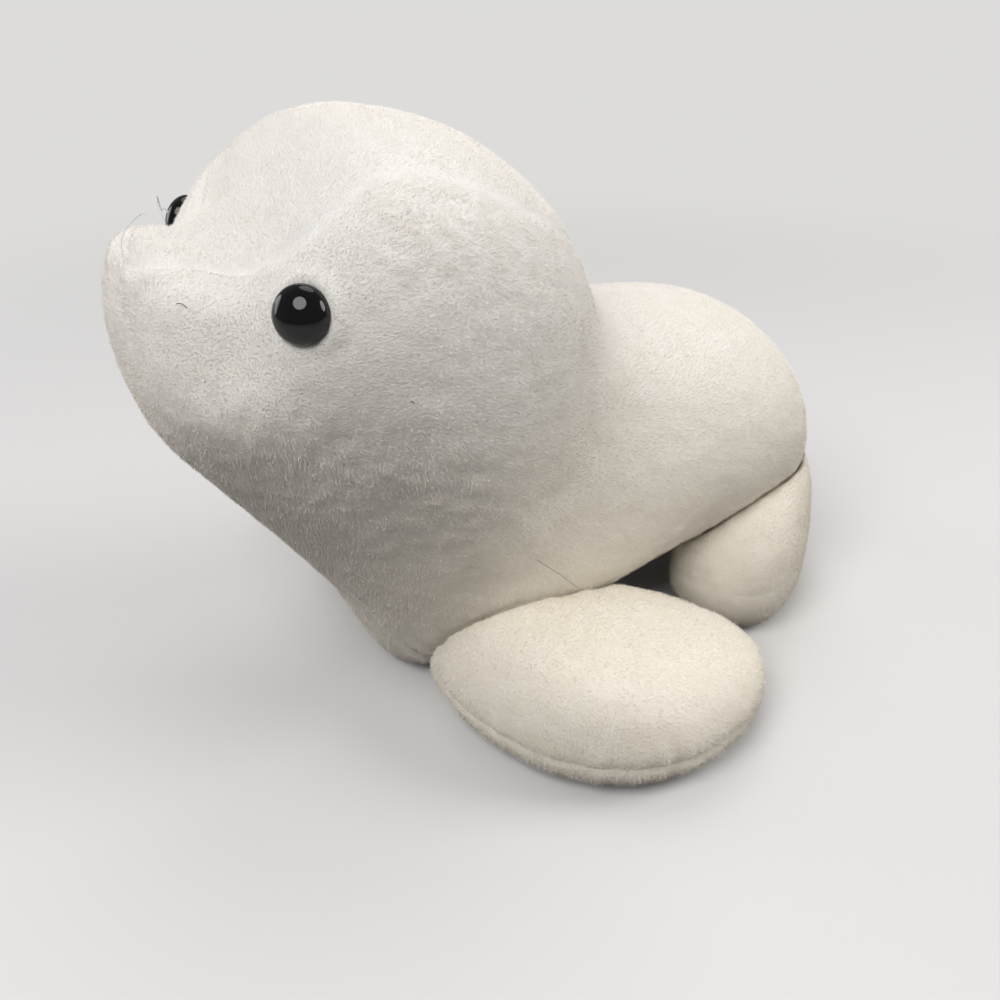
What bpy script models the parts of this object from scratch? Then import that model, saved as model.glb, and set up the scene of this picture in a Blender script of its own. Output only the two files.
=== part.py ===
"""Plush baby seal: sewn pile-fabric panels over polyester stuffing, with domed safety eyes.

Metres, +Z up. The seal faces -Y, its left side is +X, and it rests on z = 0.
"""

import math

import bmesh
import bpy
from mathutils import Matrix, Vector
from mathutils.bvhtree import BVHTree

MM = 0.001

# Driving dimensions, in millimetres unless MM is applied.

# Cloth and fits
PILE_THICKNESS = 3.0 * MM          # backing and pile together
FIT_GAP = 0.3 * MM                 # clearance between pieces that touch
STUFFING_GAP = 1.2 * MM            # stuffing stays this far inside the cloth

# Body form, from the muzzle to the tail. Each ring of the skin is a slanted oval given by
# its top and bottom points on the mid-plane (back, up), its half width, how far its widest
# line sits above its middle, and its fullness over and under that line (1 is an oval, less
# is squarer).
MUZZLE_TIP = (-174, 177)
TAIL_TIP = (146, 42)
RINGS = [
    # top back, top up, bottom back, bottom up, half width, lift, fullness over, under
    (-168, 195, -173, 157, 29, 2, 0.80, 0.90),     # muzzle
    (-158, 201, -170, 140, 47, 5, 0.70, 0.92),     # lips
    (-143, 198, -162, 126, 60, 9, 0.74, 0.95),     # in front of the eyes
    (-120, 213, -151, 110, 69, 13, 0.76, 1.0),     # eyes
    (-98, 234, -138, 93, 78, 18, 0.80, 1.0),       # crown
    (-62, 234, -126, 76, 84, 22, 0.93, 1.0),       # back of the crown
    (-29, 215, -113, 57, 82, 20, 1.0, 1.0),        # back of the head
    (-6, 193, -101, 37, 76, 14, 1.0, 1.0),         # throat
    (6, 160, -91, 11, 65, 10, 1.0, 1.0),           # nape and chest
    (26, 152, -79, -9, 60, 14, 1.0, 1.0),          # shoulders
    (52, 150, -34, 2, 66, 10, 1.0, 1.0),           # ribs
    (82, 145, 12, 22, 68, 4, 1.0, 1.0),            # waist
    (110, 130, 54, 34, 65, 0, 1.0, 1.0),           # loin
    (128, 105, 92, 38, 53, 0, 1.0, 1.0),           # rump
    (138, 78, 118, 30, 34, 0, 1.0, 1.0),           # tail
]
HALF_COLUMNS = 8
HOLLOW_TOP = (32, -137, 201)       # each eye's hollow runs down between it and the muzzle
HOLLOW_FOOT = (53, -149, 178)
HOLLOW_RADIUS = 27
HOLLOW_DEPTH = 11
SMOOTHING_ALLOWANCE = 1.035        # the cage stands this much outside the smoothed skin

# Pattern lines in plan, (half width, back from the origin), front to rear
CROWN_LINE = [(3, -164), (10, -163), (18, -160), (22, -153), (22, -147), (25, -142),
              (31, -136), (39, -130), (47, -126), (52, -120), (53, -110), (54, -97),
              (57, -84), (60, -68), (58, -48), (48, -28), (32, -10), (16, 3), (4, 8)]
CROWN_FLOOR = ((-178, 181), (30, 128))     # the region's slanted underside: (back, up)
BELLY_LINE = [(3, -130), (11, -119), (19, -104), (26, -88), (33, -60), (39, -20),
              (42, 20), (40, 60), (32, 98), (18, 124), (4, 132)]
BELLY_CEILING = ((-142, 108), (150, 46))

# Flippers in plan, (out, back), with the height of the edge seam, of the top above it and
# of the sole below it, and how much taller the forward end is than the rear end.
FRONT_OUTLINE = [(10, -70), (34, -84), (74, -83), (112, -70), (138, -40), (141, -4),
                 (128, 32), (104, 52), (76, 44), (50, 20), (26, -8), (10, -40)]
FRONT_SEAM_UP = 17
FRONT_TOP = 32
FRONT_SOLE = 20
FRONT_TAPER = 0.34
REAR_OUTLINE = [(24, 64), (36, 42), (60, 44), (80, 57), (85, 77), (70, 104), (48, 130),
                (22, 146), (2, 140), (4, 108), (14, 84)]
REAR_SEAM_UP = 27
REAR_TOP = 44
REAR_SOLE = 30
REAR_TAPER = -0.40
PILLOW_STEPS = [(1.0, 0.0), (0.93, 0.62), (0.66, 0.96)]

# Safety eyes: a domed front, a ribbed post through the cloth, and a washer behind it
EYE_OUT = 65.1 * MM
EYE_BACK = -128.3 * MM
EYE_UP = 188.8 * MM
EYE_RADIUS = 9.2 * MM
EYE_DOME = 6.2 * MM
EYE_RIM = 0.8 * MM                 # straight edge under the dome
EYE_SEAT = 1.6 * MM                # the pile is pressed down this far under the eye
POST_RADIUS = 2.4 * MM
POST_RIB = 0.35 * MM
FIRST_RIB = 6.0 * MM               # how far the first rib is below the eye's flat back
RIB_PITCH = 3.0 * MM
RIB_SLOPE = 0.4 * MM
RIB_HEIGHT = 1.2 * MM
POST_LENGTH = 13.0 * MM
WASHER_RADIUS = 8.0 * MM
WASHER_EASE = 4.4 * MM             # the cloth curves away from the washer by this much
WASHER_THICKNESS = 1.2 * MM
WASHER_BARB = 1.8 * MM             # width of the barbed collar that grips the post
EYE_POCKET_RADIUS = 10.5 * MM
EYE_POCKET_DEPTH = 15.5 * MM
POCKET_TIP = 3.0 * MM              # the pocket's floor is a shallow cone


def clear_scene():
    for item in list(bpy.data.objects):
        bpy.data.objects.remove(item, do_unlink=True)


def collection(name):
    group = bpy.data.collections.new(name)
    bpy.context.scene.collection.children.link(group)
    return group


def material(name, colour, roughness, metallic=0.0):
    made = bpy.data.materials.new(name)
    made.use_nodes = True
    shader = made.node_tree.nodes["Principled BSDF"]
    shader.inputs["Base Color"].default_value = (*colour, 1.0)
    shader.inputs["Roughness"].default_value = roughness
    shader.inputs["Metallic"].default_value = metallic
    return made


def cutter(made):
    made.hide_render = True
    made.display_type = "WIRE"
    return made


def add_object(name, mesh, group):
    bmesh.ops.recalc_face_normals(mesh, faces=mesh.faces)
    data = bpy.data.meshes.new(name)
    mesh.to_mesh(data)
    mesh.free()
    made = bpy.data.objects.new(name, data)
    group.objects.link(made)
    return made


def body_cage(name, group):
    """The closed cage of head and body: slanted ovals with a point at each end."""
    mesh = bmesh.new()
    loops = []
    columns = 2 * HALF_COLUMNS
    for top_y, top_z, low_y, low_z, half, lift, over, under in RINGS:
        top = Vector((0, top_y, top_z)) * MM
        low = Vector((0, low_y, low_z)) * MM
        middle = (top + low) / 2
        rise = (top - low) / 2 * SMOOTHING_ALLOWANCE
        up = rise.normalized()
        loop = []
        for i in range(columns):
            angle = 2 * math.pi * i / columns
            fullness = over if math.cos(angle) > 0 else under
            across = math.copysign(abs(math.sin(angle)) ** fullness, math.sin(angle))
            along = math.copysign(abs(math.cos(angle)) ** fullness, math.cos(angle))
            point = middle + rise * along + up * lift * MM * across * across
            point.x = half * MM * SMOOTHING_ALLOWANCE * across
            loop.append(mesh.verts.new(point))
        loops.append(loop)
    for a, b in zip(loops, loops[1:]):
        for i in range(columns):
            j = (i + 1) % columns
            mesh.faces.new((a[i], a[j], b[j], b[i]))
    for tip, loop in ((MUZZLE_TIP, loops[0]), (TAIL_TIP, loops[-1])):
        point = mesh.verts.new(Vector((0, tip[0], tip[1])) * MM)
        for i in range(columns):
            mesh.faces.new((loop[i], loop[(i + 1) % columns], point))
    return add_object(name, mesh, group)


def pillow_cage(name, outline, seam_up, top, sole, taper, side, group):
    """The closed cage of one flipper: its outline drawn in and raised over and under."""
    mesh = bmesh.new()
    middle = sum((Vector(p) for p in outline), Vector((0, 0))) / len(outline)
    reach = max(abs(p[1] - middle.y) for p in outline)
    seam = []
    for half, sign in ((top, 1), (sole, -1)):
        loops = []
        for scale, share in PILLOW_STEPS:
            if share == 0.0 and seam:
                loops.append(seam)
                continue
            loop = []
            for point in outline:
                flat = middle + (Vector(point) - middle) * scale
                grow = 1.0 - taper * (flat.y - middle.y) / reach if sign > 0 else 1.0
                up = seam_up + sign * half * share * grow
                loop.append(mesh.verts.new((side * flat.x * MM, flat.y * MM, up * MM)))
            if share == 0.0:
                seam = loop
            loops.append(loop)
        for a, b in zip(loops, loops[1:]):
            for i in range(len(outline)):
                j = (i + 1) % len(outline)
                mesh.faces.new((a[i], a[j], b[j], b[i]))
        up = seam_up + sign * half
        point = mesh.verts.new((side * middle.x * MM, middle.y * MM, up * MM))
        for i in range(len(outline)):
            mesh.faces.new((loops[-1][i], loops[-1][(i + 1) % len(outline)], point))
    return add_object(name, mesh, group)


def settled(cage, name, group):
    """The smoothed cage, with whatever would lie under the floor pressed flat on it."""
    smooth = cage.modifiers.new("smooth skin", "SUBSURF")
    smooth.levels = 1
    smooth.render_levels = 1
    bpy.context.view_layer.update()
    graph = bpy.context.evaluated_depsgraph_get()
    data = bpy.data.meshes.new_from_object(cage.evaluated_get(graph))
    for vertex in data.vertices:
        vertex.co.z = max(vertex.co.z, 0.0)
    made = bpy.data.objects.new(name, data)
    group.objects.link(made)
    return cutter(made)


def press_hollows(form):
    """Press in the hollow beside each eye, where the eye's pull draws the cloth in."""
    moves = []
    for side in (1, -1):
        top, foot = (Vector((side * p[0], p[1], p[2])) * MM for p in (HOLLOW_TOP, HOLLOW_FOOT))
        for vertex in form.data.vertices:
            along = (vertex.co - top).dot(foot - top) / (foot - top).length_squared
            near = top + (foot - top) * min(max(along, 0.0), 1.0)
            share = 1.0 - (vertex.co - near).length / (HOLLOW_RADIUS * MM)
            if share > 0.0:
                push = HOLLOW_DEPTH * MM * share * share * (3.0 - 2.0 * share)
                moves.append((vertex, -vertex.normal * push))
    for vertex, move in moves:
        vertex.co += move


def offset_form(form, distance, name):
    """A copy of a form that stands out from it, or inside it, by a distance."""
    made = bpy.data.objects.new(name, form.data.copy())
    FORMS.objects.link(made)
    push = made.modifiers.new("offset", "DISPLACE")
    push.strength = distance
    push.mid_level = 0.0
    return cutter(made)


def region(name, line, gap, up_from, up_to):
    """A region of the pattern: a line and its mirror image, as a tall prism."""
    points = []
    for i, point in enumerate(line):
        before = Vector(line[max(i - 1, 0)])
        after = Vector(line[min(i + 1, len(line) - 1)])
        along = (after - before).normalized()
        out = Vector((along.y, -along.x))
        points.append(Vector(point) * MM + out * gap)
    points[0].y -= gap
    points[-1].y += gap
    whole = points + [Vector((-p.x, p.y)) for p in reversed(points)]
    mesh = bmesh.new()
    low = [mesh.verts.new((p.x, p.y, up_from(p.y))) for p in whole]
    high = [mesh.verts.new((p.x, p.y, up_to(p.y))) for p in whole]
    mesh.faces.new(low)
    mesh.faces.new(high)
    for i in range(len(whole)):
        j = (i + 1) % len(whole)
        mesh.faces.new((low[i], low[j], high[j], high[i]))
    return cutter(add_object(name, mesh, FORMS))


def sloped(ends):
    """The height along a straight slope through two (back, up) points."""
    (y0, z0), (y1, z1) = ends
    return lambda y: (z0 + (z1 - z0) * (y / MM - y0) / (y1 - y0)) * MM


def box(name, low, high):
    mesh = bmesh.new()
    bmesh.ops.create_cube(mesh, size=1.0)
    low = Vector(low)
    high = Vector(high)
    for vertex in mesh.verts:
        vertex.co = Vector(a + (b - a) * (c + 0.5) for a, b, c in zip(low, high, vertex.co))
    return cutter(add_object(name, mesh, FORMS))


def boolean(made, other, operation):
    step = made.modifiers.new(operation.lower() + " " + other.name, "BOOLEAN")
    step.operation = operation
    step.solver = "EXACT"
    step.object = other


def cloth_panel(name, form, keep, cuts, slot):
    """One cut of pile fabric: the form's skin, thickened inward and trimmed to its pattern."""
    made = bpy.data.objects.new(name, form.data.copy())
    SEAL.objects.link(made)
    cloth = made.modifiers.new("pile fabric", "SOLIDIFY")
    cloth.thickness = PILE_THICKNESS
    cloth.offset = -1.0
    boolean(made, keep, "INTERSECT")
    for other in cuts:
        boolean(made, other, "DIFFERENCE")
    made.data.materials.clear()
    made.data.materials.append(slot)
    return made


def stuffing(name, form, cuts, slot):
    made = bpy.data.objects.new(name, form.data.copy())
    SEAL.objects.link(made)
    shrink = made.modifiers.new("inside the cloth", "DISPLACE")
    shrink.strength = -(PILE_THICKNESS + STUFFING_GAP)
    shrink.mid_level = 0.0
    for other in cuts:
        boolean(made, other, "DIFFERENCE")
    made.data.materials.clear()
    made.data.materials.append(slot)
    return made


def turned(name, profile, steps, place, group):
    """A solid of revolution about its own Z from (radius, height) points, set in place."""
    mesh = bmesh.new()
    line = [mesh.verts.new((r, 0, z)) for r, z in profile]
    edges = [mesh.edges.new((a, b)) for a, b in zip(line, line[1:])]
    if profile[0][0] > 0 and profile[-1][0] > 0:
        edges.append(mesh.edges.new((line[-1], line[0])))
    bmesh.ops.spin(mesh, geom=line + edges, cent=(0, 0, 0), axis=(0, 0, 1),
                   angle=2 * math.pi, steps=steps, use_duplicate=False)
    bmesh.ops.remove_doubles(mesh, verts=mesh.verts, dist=0.00001)
    bmesh.ops.transform(mesh, matrix=place, verts=mesh.verts)
    return add_object(name, mesh, group)


clear_scene()
SEAL = collection("plush_seal")
FORMS = collection("forms_and_cutters")

# Materials
pile = material("cream_pile", (0.84, 0.79, 0.68), 0.9)
fill = material("white_stuffing", (0.86, 0.86, 0.84), 0.95)
eye_plastic = material("black_eye_plastic", (0.012, 0.012, 0.013), 0.12)
washer_plastic = material("washer_plastic", (0.78, 0.78, 0.76), 0.4)

# Forms that the pieces are cut from
body_form = settled(body_cage("body_cage", FORMS), "body_form", FORMS)
press_hollows(body_form)
body_clear = offset_form(body_form, FIT_GAP, "body_clearance")
body_wide_clear = offset_form(body_form, STUFFING_GAP, "body_wide_clearance")
crown_region = region("crown_region", CROWN_LINE, 0.0, sloped(CROWN_FLOOR), lambda y: 0.3)
crown_clear = region("crown_clearance", CROWN_LINE, FIT_GAP, sloped(CROWN_FLOOR),
                     lambda y: 0.31)
belly_region = region("belly_region", BELLY_LINE, 0.0, lambda y: -0.05,
                      sloped(BELLY_CEILING))
belly_clear = region("belly_clearance", BELLY_LINE, FIT_GAP, lambda y: -0.06,
                     sloped(BELLY_CEILING))

# Head and body cover: crown, chest and belly, and the two side panels
crown_panel = cloth_panel("crown_panel", body_form, crown_region, [], pile)
belly_panel = cloth_panel("belly_panel", body_form, belly_region, [], pile)
surface = BVHTree.FromPolygons([v.co for v in body_form.data.vertices],
                               [p.vertices for p in body_form.data.polygons])
pockets = []
for side, word in ((1, "left"), (-1, "right")):
    half = box(word + "_half", (FIT_GAP / 2, -0.3, -0.1), (0.3, 0.3, 0.4))
    if side < 0:
        half.data.transform(Matrix.Scale(-1, 4, (1, 0, 0)))
        half.data.flip_normals()
    side_panel = cloth_panel(word + "_side_panel", body_form, half,
                             [crown_clear, belly_clear], pile)

    # The eye stands square to the head at the skin's nearest point to its place
    spot, normal, _, _ = surface.find_nearest(Vector((side * EYE_OUT, EYE_BACK, EYE_UP)))
    turn = normal.to_track_quat("Z", "Y").to_matrix().to_4x4()
    place = Matrix.Translation(spot - normal * (EYE_SEAT - FIT_GAP)) @ turn
    cup = turned(word + "_eye_seat_cutter",
                 [(0, -EYE_SEAT), (EYE_RADIUS + FIT_GAP, -EYE_SEAT),
                  (EYE_RADIUS + FIT_GAP, 0.01), (0, 0.01)],
                 32, Matrix.Translation(spot) @ turn, FORMS)
    cutter(cup)
    hole = turned(word + "_post_hole_cutter",
                  [(0, -0.02), (POST_RADIUS + POST_RIB + FIT_GAP, -0.02),
                   (POST_RADIUS + POST_RIB + FIT_GAP, 0.01), (0, 0.01)],
                  20, Matrix.Translation(spot) @ turn, FORMS)
    cutter(hole)
    for panel in (side_panel, crown_panel):
        boolean(panel, cup, "DIFFERENCE")
        boolean(panel, hole, "DIFFERENCE")
    pocket = turned(word + "_eye_pocket_cutter",
                    [(0, -EYE_POCKET_DEPTH - POCKET_TIP), (EYE_POCKET_RADIUS, -EYE_POCKET_DEPTH),
                     (EYE_POCKET_RADIUS, 0.01), (0, 0.01)],
                    24, Matrix.Translation(spot) @ turn, FORMS)
    pockets.append(cutter(pocket))

    # Safety eye: low dome, flat back, ribbed post
    dome = []
    for i in range(6):
        angle = math.pi / 2 * (1 - i / 5)
        dome.append((EYE_RADIUS * math.cos(angle), EYE_RIM + EYE_DOME * math.sin(angle)))
    dome[0] = (0, dome[0][1])
    post = [(EYE_RADIUS, 0), (POST_RADIUS, 0)]
    for i in range(2):
        low = -(FIRST_RIB + i * RIB_PITCH)
        post += [(POST_RADIUS, low), (POST_RADIUS + POST_RIB, low - RIB_SLOPE),
                 (POST_RADIUS, low - RIB_HEIGHT)]
    post += [(POST_RADIUS * 0.8, -POST_LENGTH), (0, -POST_LENGTH)]
    eye = turned(word + "_eye", dome + post, 24, place, SEAL)
    eye.data.materials.append(eye_plastic)

    # Lock washer, pressed on the post against the inside of the cloth
    inner = POST_RADIUS + POST_RIB + FIT_GAP
    under = -(PILE_THICKNESS - EYE_SEAT + WASHER_EASE)
    ring = [(inner, under), (WASHER_RADIUS, under), (WASHER_RADIUS, under - WASHER_THICKNESS),
            (inner + WASHER_BARB, under - WASHER_THICKNESS),
            (inner, under - 1.8 * WASHER_THICKNESS)]
    washer = turned(word + "_eye_washer", ring, 20, place, SEAL)
    washer.data.materials.append(washer_plastic)

# Head and body stuffing, hollowed behind the eyes
stuffing("body_stuffing", body_form, pockets, fill)

# Flippers: an upper and a lower panel over stuffing, each sewn against the body
for side, word in ((1, "left"), (-1, "right")):
    for place_word, outline, seam_up, top, sole, taper in (
            ("front", FRONT_OUTLINE, FRONT_SEAM_UP, FRONT_TOP, FRONT_SOLE, FRONT_TAPER),
            ("rear", REAR_OUTLINE, REAR_SEAM_UP, REAR_TOP, REAR_SOLE, REAR_TAPER)):
        name = word + "_" + place_word + "_flipper"
        form = settled(pillow_cage(name + "_cage", outline, seam_up, top, sole, taper,
                                   side, FORMS), name + "_form", FORMS)
        over = box(name + "_over", (-0.3, -0.3, seam_up * MM + FIT_GAP / 2), (0.3, 0.3, 0.3))
        under = box(name + "_under", (-0.3, -0.3, -0.1), (0.3, 0.3, seam_up * MM - FIT_GAP / 2))
        cloth_panel(name + "_upper", form, over, [body_clear], pile)
        cloth_panel(name + "_lower", form, under, [body_clear], pile)
        stuffing(name + "_stuffing", form, [body_wide_clear], fill)

for item in FORMS.objects:
    cutter(item)

# The origin is the middle of the base
bpy.context.view_layer.update()
graph = bpy.context.evaluated_depsgraph_get()
backs = []
for item in SEAL.objects:
    shape = item.evaluated_get(graph).to_mesh()
    backs += [v.co.y for v in shape.vertices]
middle = (min(backs) + max(backs)) / 2
for item in list(SEAL.objects) + list(FORMS.objects):
    item.data.transform(Matrix.Translation((0, -middle, 0)))
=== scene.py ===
"""Plush seal pup: the sewn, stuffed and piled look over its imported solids."""

import math

import bpy
import numpy as np
from mathutils import Matrix, Vector, noise
from mathutils.bvhtree import BVHTree
from mathutils.kdtree import KDTree


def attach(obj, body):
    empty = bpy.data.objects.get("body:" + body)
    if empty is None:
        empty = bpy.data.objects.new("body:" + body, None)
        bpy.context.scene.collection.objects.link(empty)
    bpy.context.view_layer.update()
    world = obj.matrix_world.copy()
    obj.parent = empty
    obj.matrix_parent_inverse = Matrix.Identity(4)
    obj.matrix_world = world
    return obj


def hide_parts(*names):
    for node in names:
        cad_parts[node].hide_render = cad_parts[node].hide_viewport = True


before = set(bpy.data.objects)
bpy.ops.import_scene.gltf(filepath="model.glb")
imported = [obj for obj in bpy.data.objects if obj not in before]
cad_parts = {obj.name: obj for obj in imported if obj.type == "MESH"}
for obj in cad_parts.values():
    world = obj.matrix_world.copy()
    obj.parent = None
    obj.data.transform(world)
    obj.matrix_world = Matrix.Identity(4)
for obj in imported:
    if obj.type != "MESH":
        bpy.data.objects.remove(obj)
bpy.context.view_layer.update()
scene = bpy.context.scene


# The room: a pale matt floor, a plain backdrop and four soft lamps, the strongest one high in
# front. The floor looks pale and gives the dim bounce of a dark one, which keeps the toy's
# underside in shade, and further off it goes over to the backdrop.

def linear(colour):
    """The linear colour, with alpha, that an sRGB hex value stands for."""
    parts = [int(colour[i:i + 2], 16) / 255 for i in (1, 3, 5)]
    return (*[c / 12.92 if c <= 0.04045 else ((c + 0.055) / 1.055) ** 2.4 for c in parts], 1.0)


def add_node(tree, kind, inputs=None, **settings):
    """Adds a node with its settings; an input gets a value, or a link from a socket."""
    made = tree.nodes.new(kind)
    for name, value in settings.items():
        setattr(made, name, value)
    for socket, value in (inputs or {}).items():
        if isinstance(value, bpy.types.NodeSocket):
            tree.links.new(value, made.inputs[socket])
        else:
            made.inputs[socket].default_value = value
    return made


def lamp(name, place, size, watts, colour):
    """A round soft lamp, aimed at the middle of the toy."""
    data = bpy.data.lights.new(name, "AREA")
    data.shape = "DISK"
    data.size = size
    data.energy = watts
    data.color = linear(colour)[:3]
    made = bpy.data.objects.new(name, data)
    made.location = place
    made.rotation_euler = (TOY_MIDDLE - Vector(place)).to_track_quat("-Z", "Y").to_euler()
    scene.collection.objects.link(made)


FLOOR_SIZE = 12
FLOOR_PALE = "#E6E5E3"             # the colour that the camera and reflections see
FLOOR_BOUNCE = "#4A4744"           # the colour that lights the toy from below
BACKDROP = "#DDDCDB"
ROOM_LIGHT = "#87878A"
FLOOR_FADES = (0.3, 0.95)          # between these distances the floor goes over to the backdrop
TOY_MIDDLE = Vector((0, 0, 0.1))

bpy.ops.mesh.primitive_plane_add(size=FLOOR_SIZE, location=(0, 0, 0))
floor = bpy.context.object
floor.name = "floor"

# Matt paint, which shows no gloss
floor_paint = bpy.data.materials.new("pale matt floor")
floor_paint.use_nodes = True
tree = floor_paint.node_tree
tree.nodes.clear()
path = add_node(tree, "ShaderNodeLightPath")
seen = add_node(tree, "ShaderNodeMath", {0: path.outputs["Is Camera Ray"],
                                         1: path.outputs["Is Glossy Ray"]},
                operation="MAXIMUM")
seen = add_node(tree, "ShaderNodeMath", {0: seen.outputs[0],
                                         1: path.outputs["Is Transmission Ray"]},
                operation="MAXIMUM")
tone = add_node(tree, "ShaderNodeMix", {"Factor": seen.outputs[0]}, data_type="RGBA")
tone.inputs[6].default_value = linear(FLOOR_BOUNCE)
tone.inputs[7].default_value = linear(FLOOR_PALE)
matt = add_node(tree, "ShaderNodeBsdfDiffuse", {"Color": tone.outputs[2]})
where = add_node(tree, "ShaderNodeTexCoord")
away = add_node(tree, "ShaderNodeVectorMath", {0: where.outputs["Object"]}, operation="LENGTH")
fade = add_node(tree, "ShaderNodeMapRange",
                {0: away.outputs["Value"], 1: FLOOR_FADES[0], 2: FLOOR_FADES[1]},
                interpolation_type="SMOOTHSTEP")
fade = add_node(tree, "ShaderNodeMath", {0: fade.outputs[0], 1: path.outputs["Is Camera Ray"]},
                operation="MULTIPLY")
far_off = add_node(tree, "ShaderNodeEmission", {"Color": linear(BACKDROP)})
both = add_node(tree, "ShaderNodeMixShader",
                {0: fade.outputs[0], 1: matt.outputs[0], 2: far_off.outputs[0]})
add_node(tree, "ShaderNodeOutputMaterial", {"Surface": both.outputs[0]})
floor.data.materials.append(floor_paint)

world = bpy.data.worlds.new("soft room light")
scene.world = world
world.use_nodes = True
tree = world.node_tree
tree.nodes.clear()
path = add_node(tree, "ShaderNodeLightPath")
seen = add_node(tree, "ShaderNodeMath", {0: path.outputs["Is Camera Ray"],
                                         1: path.outputs["Is Transmission Ray"]},
                operation="MAXIMUM")
tone = add_node(tree, "ShaderNodeMix", {"Factor": seen.outputs[0]}, data_type="RGBA")
tone.inputs[6].default_value = linear(ROOM_LIGHT)
tone.inputs[7].default_value = linear(BACKDROP)
sky = add_node(tree, "ShaderNodeBackground", {"Color": tone.outputs[2], "Strength": 1.0})
add_node(tree, "ShaderNodeOutputWorld", {"Surface": sky.outputs[0]})

lamp("key lamp", (0.48, -0.84, 1.17), 0.85, 11.1, "#FFFEFD")
lamp("overhead lamp", (-0.49, 0.28, 1.39), 0.9, 3.8, "#FBFCFF")
lamp("left lamp", (0.63, 1.09, 0.82), 0.8, 9.8, "#FFFDFA")
lamp("right lamp", (-1.05, -0.9, 0.38), 0.8, 4.2, "#FAFBFF")

# The camera looks down on the left cheek from close by, as wide as it is far
CAMERA_PLACE = (0.3407, -0.2041, 0.288)
LOOK_RIGHT = Vector((0.5, 0.8660, 0))
LOOK_UP = Vector((-0.4291, 0.2478, 0.8686))
LOOK_BACK = Vector((0.7522, -0.4343, 0.4955))
view = bpy.data.cameras.new("camera")
view.lens = 36
view.sensor_width = 36
camera = bpy.data.objects.new("camera", view)
camera.matrix_world = Matrix.Translation(CAMERA_PLACE) @ Matrix(
    (LOOK_RIGHT, LOOK_UP, LOOK_BACK)).transposed().to_4x4()
scene.collection.objects.link(camera)
scene.camera = camera
scene.view_settings.view_transform = "Standard"


# Head and body cover: a crown, two side panels and a belly of short pile fabric, sewn inside
# out, turned and packed with fibre. The fibre pushes each panel out between its seams, and the
# seams, drawn in by their thread, are lost in the pile except across the face.

BODY_PANELS = ["crown_panel", "belly_panel", "left_side_panel", "right_side_panel"]
BODY_VOXEL = 0.004
PILE_DEPTH = 0.0012                # the body of the pile lies this far under its tips
PILE_PROUD = 0.0006                # and the tips stand this far out of the CAD solids
SWELL_PRESSURE = 4
SWELL_STEPS = 20
SWELL_LIMIT = 0.0024
HELD_WIDTH = 0.005                 # the cloth this close to a seam is held while it swells
FILLING_DEPTH = 0.0042             # how far the fibre lies inside the cloth
FILLING_UNEVEN = 0.0008
FILLING_LUMP = 0.014
FILLING_SHARE = 0.42               # in a thin place it takes this share of the way across
SEAM_DRAW = {("belly_panel", "left_side_panel"): 0.0012,
             ("belly_panel", "right_side_panel"): 0.0012,
             ("crown_panel", "left_side_panel"): 0.003,
             ("crown_panel", "right_side_panel"): 0.003,
             ("left_side_panel", "right_side_panel"): 0.0004}
SEAM_WIDTH = 0.0019
SHOULDER_AT = 0.006                # this far beside a seam the cloth swells up a little
SHOULDER_WIDTH = 0.003
SHOULDER_SHARE = 0.25
SEAM_REACH = 0.03                  # beyond this a point counts as away from every seam
EYE_RADIUS = 0.0092
FACE_BACK = -0.095                 # the crown seam shows in front of this and is lost behind it
FACE_FADE = 0.02
NECK_CREASE = [(0.050, -0.004, 0.186), (0.0563, -0.004, 0.1655), (0.0595, -0.0043, 0.155),
               (0.0619, -0.0045, 0.136), (0.0627, -0.0049, 0.116), (0.065, -0.0119, 0.1057),
               (0.0679, -0.0206, 0.101)]


def only(*items):
    """Leaves just these objects selected, with the first one active."""
    bpy.ops.object.select_all(action="DESELECT")
    for item in items:
        item.select_set(True)
    bpy.context.view_layer.objects.active = items[0]


def apply_all(item):
    """Applies every modifier, in order."""
    only(item)
    for step in list(item.modifiers):
        bpy.ops.object.modifier_apply(modifier=step.name)


def points_of(item):
    """The places of a mesh's vertices."""
    co = np.empty(len(item.data.vertices) * 3)
    item.data.vertices.foreach_get("co", co)
    return co.reshape(-1, 3)


def normals_of(item):
    """The outward directions at a mesh's vertices."""
    out = np.empty(len(item.data.vertices) * 3)
    item.data.vertices.foreach_get("normal", out)
    return out.reshape(-1, 3)


def put_points(item, co):
    """Moves a mesh's vertices to new places."""
    item.data.vertices.foreach_set("co", co.astype(np.float32).ravel())
    item.data.update()


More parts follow.
